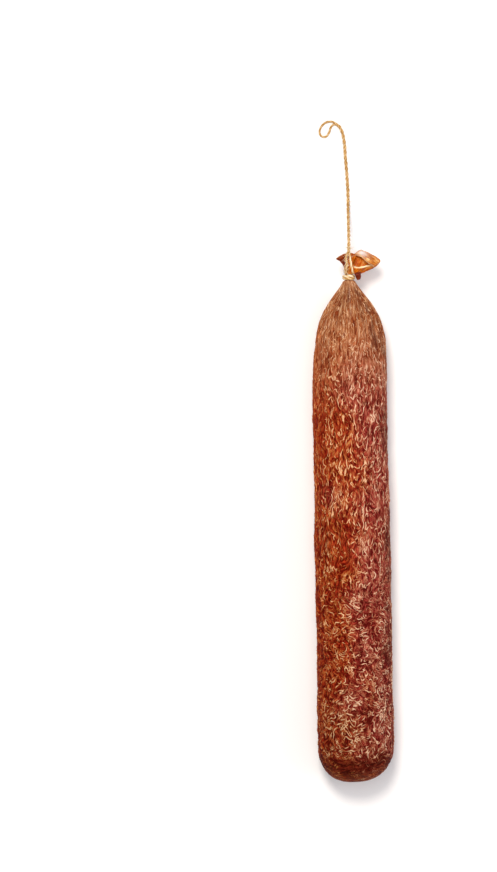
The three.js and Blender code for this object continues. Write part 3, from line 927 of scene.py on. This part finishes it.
def make_body():
    along = body_rows()[:, None]
    angle = np.linspace(0, 2 * np.pi, AROUND, endpoint=False)[None, :]
    radius = radius_at(along) + 0 * angle
    y = ROUND_END + along + 0 * angle
    smooth = np.stack([radius * np.cos(angle), y, radius * np.sin(angle)], -1)
    full = full_radius(along)
    unrolled = np.stack([full * np.cos(angle), y, full * np.sin(angle)], -1)
    slope = np.gradient(radius_at(along[:, 0]), ROW_STEP)[:, None]
    level = np.sqrt(np.clip(1 - slope**2, 0, 1))
    outward = np.stack([level * np.cos(angle), -slope + 0 * angle, level * np.sin(angle)], -1)

    drawn = np.where((along > BODY_LENGTH / 2)[..., None], unrolled, smooth)
    height, reads = casing_relief(drawn, angle, along, radius)
    pressed = np.clip(-np.sin(angle), 0, 1) ** 12
    share = np.minimum(1, radius / full)
    height = (height + lump_height(angle, along)) * share * (1 - pressed) + radius * pleats(angle, along)
    rings = smooth + height[..., None] * outward
    rings[..., 0] += axis_offset(along)
    rings[..., 2] += full - FLAT_DEPTH
    rings[..., 2] = np.maximum(rings[..., 2], 0)
    tip = (axis_offset(0.0), ROUND_END, AXIS_HEIGHT + RADIUS_AT_ROUND_END - RADIUS_AT_TIED_END)
    end = (0, TIE.y + NECK_HALF_LENGTH, AXIS_HEIGHT)
    vertices, faces = closed_skin(rings, tip, end)
    reads["along"] = along + 0 * angle
    attributes = {key: np.concatenate([v.ravel(), [v[0].mean(), v[-1].mean()]]) for key, v in reads.items()}
    body = make_mesh("casing", vertices, faces, casing_material(), attributes)
    layer = body.data.attributes.new("unrolled", "FLOAT_VECTOR", "POINT")
    layer.data.foreach_set("vector", np.concatenate([unrolled.reshape(-1, 3), [tip, end]]).ravel())
    unwrap(body.data, len(rings))
    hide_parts("sausage")


def unwrap(mesh, rows):
    """Lays the body's surface out flat: once round it across, and its rows up."""
    corners = np.zeros(len(mesh.loops), int)
    mesh.loops.foreach_get("vertex_index", corners)
    starts = np.zeros(len(mesh.polygons), int)
    mesh.polygons.foreach_get("loop_start", starts)
    row = corners // AROUND
    across = (corners % AROUND) / AROUND
    up = (row + 1) / (rows + 1)
    pole = corners >= rows * AROUND
    face = np.searchsorted(starts, np.arange(len(corners)), side="right") - 1
    widest = np.zeros(len(starts))
    np.maximum.at(widest, face[~pole], across[~pole])
    across = np.where((across < 0.25) & (widest[face] > 0.75), across + 1, across)
    across = np.where(pole, np.minimum(widest[face], 1), across)
    up = np.where(pole, np.where(corners == rows * AROUND, 0.0, 1.0), up)
    mesh.uv_layers.new(name="OFBake").data.foreach_set("uv", np.stack([across, up], -1).ravel())


# Casing end: the empty casing past the tie

CASING_END = [
    {"fold": (19.0, 9.6, 0), "edge": (14.8, 6.2, 4.6)},
    {"fold": (15.4, 6.3, 0.8), "edge": (11.2, 7.0, 4.4)},
    {"edge": (6.6, 5.6, 4.4)},
    {"edge": (3.4, 6.2, 3.2)},
    {"edge": (2.7, 9.4, 1.8)},
    {"edge": (4.2, 12.9, 0)},
    {"edge": (1.4, 12.6, -1.8)},
    {"edge": (-2.0, 14.2, 0)},
    {"edge": (-7.3, 11.3, 0.2)},
    {"edge": (-4.6, 13.2, -2.6)},
    {"edge": (-1.2, 14.4, -4.2)},
    {"edge": (2.6, 14.6, -5.4)},
    {"fold": (6.6, 16.4, -4.2), "edge": (5.2, 12.8, -0.2)},
    {"fold": (9.7, 16.1, -3.6), "edge": (7.6, 11.8, 2.2)},
    {"fold": (13.5, 14.3, -2.8), "edge": (9.9, 9.7, 4.0)},
    {"fold": (17.2, 12.1, -1.6), "edge": (12.2, 7.6, 5.4)},
]
# How far the right of the casing is lifted forwards, and its left drawn in, on their way from the
# neck: the place, reach and size of each swell
LIFT = (0.55, 0.18, 0.12)
WAIST = (0.35, 0.2, 0.14)
# How far towards its edge the wall of an unfolded stretch goes, how far a fold's rounding reaches to each
# side of it, and how far the flap bulges
PLAIN_FOLD = 0.8
FOLD_ROUNDING = 0.12
FLAP_CROWN = 0.7
GATHER_DEPTH = 0.3
GATHERS = 15
FILM = 0.32
FRONT_RIM = 0.5
FILM_AROUND = 420
FILM_ROWS = 90
FOLD_AROUND = 48

# A small fold of casing that hangs down beside the tie: right, forward, above the axis, and half width
FOLD_TIP = [
    (3.0, 5.6, 1.4, 1.2),
    (4.2, 4.4, 1.8, 1.8),
    (5.2, 2.6, 1.8, 2.1),
    (5.7, 0.6, 1.4, 1.9),
    (5.8, -0.6, 1.1, 1.6),
    (5.7, -1.3, 1.0, 1.1),
    (5.7, -1.6, 0.9, 0.3),
]


def closed_curve(points, turn):
    """A smooth closed curve through points, at turns from 0 to 1."""
    points = np.asarray(points, float)
    place = (turn % 1) * len(points)
    base = np.floor(place).astype(int)
    share = (place - base)[..., None]
    stretch = [points[(base + i) % len(points)] for i in (-1, 0, 1, 2)]
    return curve_between(*stretch, share)


def swell(t, place, reach, size):
    return size * np.exp(-(((t - place) / reach) ** 2))


def casing_towards(turn, t, target):
    """A point of the casing t of the way from the neck to a target."""
    angle = 2 * np.pi * turn
    right = np.cos(angle)
    outward = t ** (1.15 - 1.2 * right + 0.85 * right**2) - swell(t, *WAIST) * np.clip(-right, 0, 1) ** 4
    forward = t ** (1.3 + 0.5 * right) + swell(t, *LIFT) * np.clip(right, 0, 1) ** 6
    neck = [NECK_RADIUS * np.cos(angle), NECK_HALF_LENGTH + 0 * angle, NECK_RADIUS * np.sin(angle)]
    neck = np.stack(neck, -1)
    share = np.stack([outward, forward, outward], -1)
    return neck + (target - neck) * share


def film_points(turn, t):
    """The casing end's middle surface: t is 0 at the tie, 1 at the fold and 2 at the edge."""
    stations = np.arange(len(CASING_END)) / len(CASING_END)
    edges = np.array([s["edge"] for s in CASING_END], float)
    plain = casing_towards(stations, np.full(len(stations), PLAIN_FOLD), edges)
    folds = np.array([s.get("fold", p) for s, p in zip(CASING_END, plain)], float)
    fold = closed_curve(folds, turn)
    edge = closed_curve(edges, turn)

    def wall(up):
        return casing_towards(turn, up, fold)

    def flap(past):
        crown = FLAP_CROWN * np.sin(np.pi * past)
        return fold + (edge - fold) * past[..., None] + crown[..., None] * [0, 0, 1]

    points = np.where((t < 1)[..., None], wall(np.clip(t, 0, 1)), flap(np.clip(t - 1, 0, 1)))
    share = np.clip((t - 1 + FOLD_ROUNDING) / (2 * FOLD_ROUNDING), 0, 1)[..., None]
    before, after = wall(np.full_like(t, 1 - FOLD_ROUNDING)), flap(np.full_like(t, FOLD_ROUNDING))
    rounded = (1 - share) ** 2 * before + 2 * share * (1 - share) * fold + share**2 * after
    return np.where((np.abs(t - 1) < FOLD_ROUNDING)[..., None], rounded, points)


def film_creases(points, turn, t):
    """How far the film stands off its middle surface: gathers at the neck, then crinkles."""
    angle = 2 * np.pi * turn
    up = np.sin(np.pi * np.clip(t / 0.9, 0, 1)) ** 0.8
    gathers = np.cos(GATHERS * angle) + 0.6 * np.cos(23 * angle + 1.3) + 0.4 * np.cos(34 * angle + 2.2)
    crinkles = layered_noise(points, 3.2, 81, 2)
    sharp = 1 - 2 * np.abs(lattice_noise(points, 4.2, 84))
    return 0.6 * GATHER_DEPTH * up * gathers + np.clip(t * 1.5, 0, 1) * (0.22 * crinkles + 0.2 * sharp)


def film_reads(points, turn, t):
    """What the film's material reads on its outside and on its inside."""
    flap = smoothstep(t, 1.0, 1.22) * (smoothstep(turn, 0.7, 0.75) + smoothstep(turn, 0.09, 0.06))
    up_wall = evened(lattice_noise(np.stack([turn * 90, t * 1.2, 0 * t], -1), 1.0, 85))
    along_flap = evened(lattice_noise(np.stack([turn * 14, t * 9, 0 * t], -1), 1.0, 86))
    streak = 0.5 + 0.1 * up_wall * (1 - flap) + 0.16 * along_flap * flap
    streak = streak + 0.07 * evened(layered_noise(points, 2.2, 87))
    neck = smoothstep(t, 0.55, 0.25) * smoothstep(np.cos(2 * np.pi * (turn - 0.3)), 0, 0.7)
    wing = smoothstep(turn, 0.36, 0.42) * smoothstep(turn, 0.7, 0.62)
    under = 0.55 * np.exp(-(((t - 0.86) / 0.1) ** 2))
    under = under * (smoothstep(turn, 0.13, 0.06) + smoothstep(turn, 0.9, 0.97))
    # White powder on the flap, with a painted highlight on it
    bloom_and_highlight = flap * np.exp(-(((turn - 0.8) / 0.05) ** 2)) * np.exp(-(((t - 1.45) / 0.4) ** 2))
    dark = np.maximum(wing * smoothstep(t, 0.2, 0.5) * (1.05 - 0.15 * t), under)
    return {
        "tan": (np.maximum(flap, neck), 0.9 * flap * smoothstep(t, 1.6, 1.9)),
        "dark": (dark, 0.5 * wing),
        "streak": (streak, streak),
        "bloom_and_highlight": (bloom_and_highlight, 0 * bloom_and_highlight),
    }


def make_casing_end():
    turn = np.linspace(0, 1, FILM_AROUND, endpoint=False)[None, :]
    t = np.linspace(0, 2, FILM_ROWS)[:, None]
    turn, t = turn + 0 * t, t + 0 * turn
    points = film_points(turn, t)
    step = 1e-3
    around = film_points(turn + step, t) - film_points(turn - step, t)
    upward = film_points(turn, np.minimum(t + step, 2)) - film_points(turn, np.maximum(t - step, 0))
    normal = -np.cross(around, upward)
    normal /= np.linalg.norm(normal, axis=-1, keepdims=True)
    points = points + film_creases(points, turn, t)[..., None] * normal
    front = smoothstep(turn, 0.04, 0.08) * smoothstep(turn, 0.22, 0.17)
    rim = np.maximum(0.35 * smoothstep(t, 1.9, 2.0), front * smoothstep(t, 1.45, 1.75))
    half = (FILM + FRONT_RIM * front * smoothstep(t, 1.4, 1.8)) / 2 * np.clip(t * 8, 0, 1)
    outer, inner = points + half[..., None] * normal, points - half[..., None] * normal
    inner_rows = t[:, 0] > 0.15
    rings = np.concatenate([outer, inner[inner_rows][::-1]]) + [0, TIE.y, AXIS_HEIGHT]
    hollow = (0.4, TIE.y + NECK_HALF_LENGTH + 1.2, AXIS_HEIGHT)
    base = (0, TIE.y + NECK_HALF_LENGTH - 0.6, AXIS_HEIGHT)
    vertices, faces = closed_skin(rings, base, hollow)

    sides = film_reads(points, turn, t)
    sides["rim"] = (rim, rim)
    attributes = {}
    for key, (out, into) in sides.items():
        whole = np.concatenate([out, into[inner_rows][::-1]])
        attributes[key] = np.concatenate([whole.ravel(), [whole[0].mean(), whole[-1].mean()]])
    material = film_material()
    end = make_mesh("casing_end", vertices, faces, material, attributes)
    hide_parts("sausage")
    make_fold_tip(material)


def make_fold_tip(material):
    """The dark fold beside the tie: flat, crumpled and rounded at its end."""
    route = smooth_path(FOLD_TIP, 0.12)
    line, width = route[:, :3] + [0, TIE.y, AXIS_HEIGHT], route[:, 3]
    _, sides, ups = carried_frames(line)
    angle = np.linspace(0, 2 * np.pi, FOLD_AROUND, endpoint=False)[None, :, None]
    across = 0.6 * np.cos(angle) * ups[:, None, :] + 0.9 * np.sin(angle) * sides[:, None, :]
    rings = line[:, None, :] + width[:, None, None] * across
    rings = rings + 0.28 * layered_noise(rings, 1.5, 91, 2)[..., None] * across
    vertices, faces = closed_skin(rings[:, ::-1], line[0], line[-1])
    down = np.repeat(np.linspace(0, 1, len(line)), FOLD_AROUND)
    values = {"tan": 0 * down, "dark": 0.75 + 0.25 * np.sin(3 * down), "rim": 0 * down, "bloom_and_highlight": 0 * down,
              "streak": 0.45 + 0.2 * lattice_noise(rings, 0.8, 92).ravel()}
    attributes = {key: np.concatenate([v, v[[0, -1]]]) for key, v in values.items()}
    fold = make_mesh("casing_fold", vertices, faces, material, attributes)
    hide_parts("sausage")


make_camera()
make_studio()
make_twine()
make_body()
make_casing_end()

bpy.context.view_layer.update()
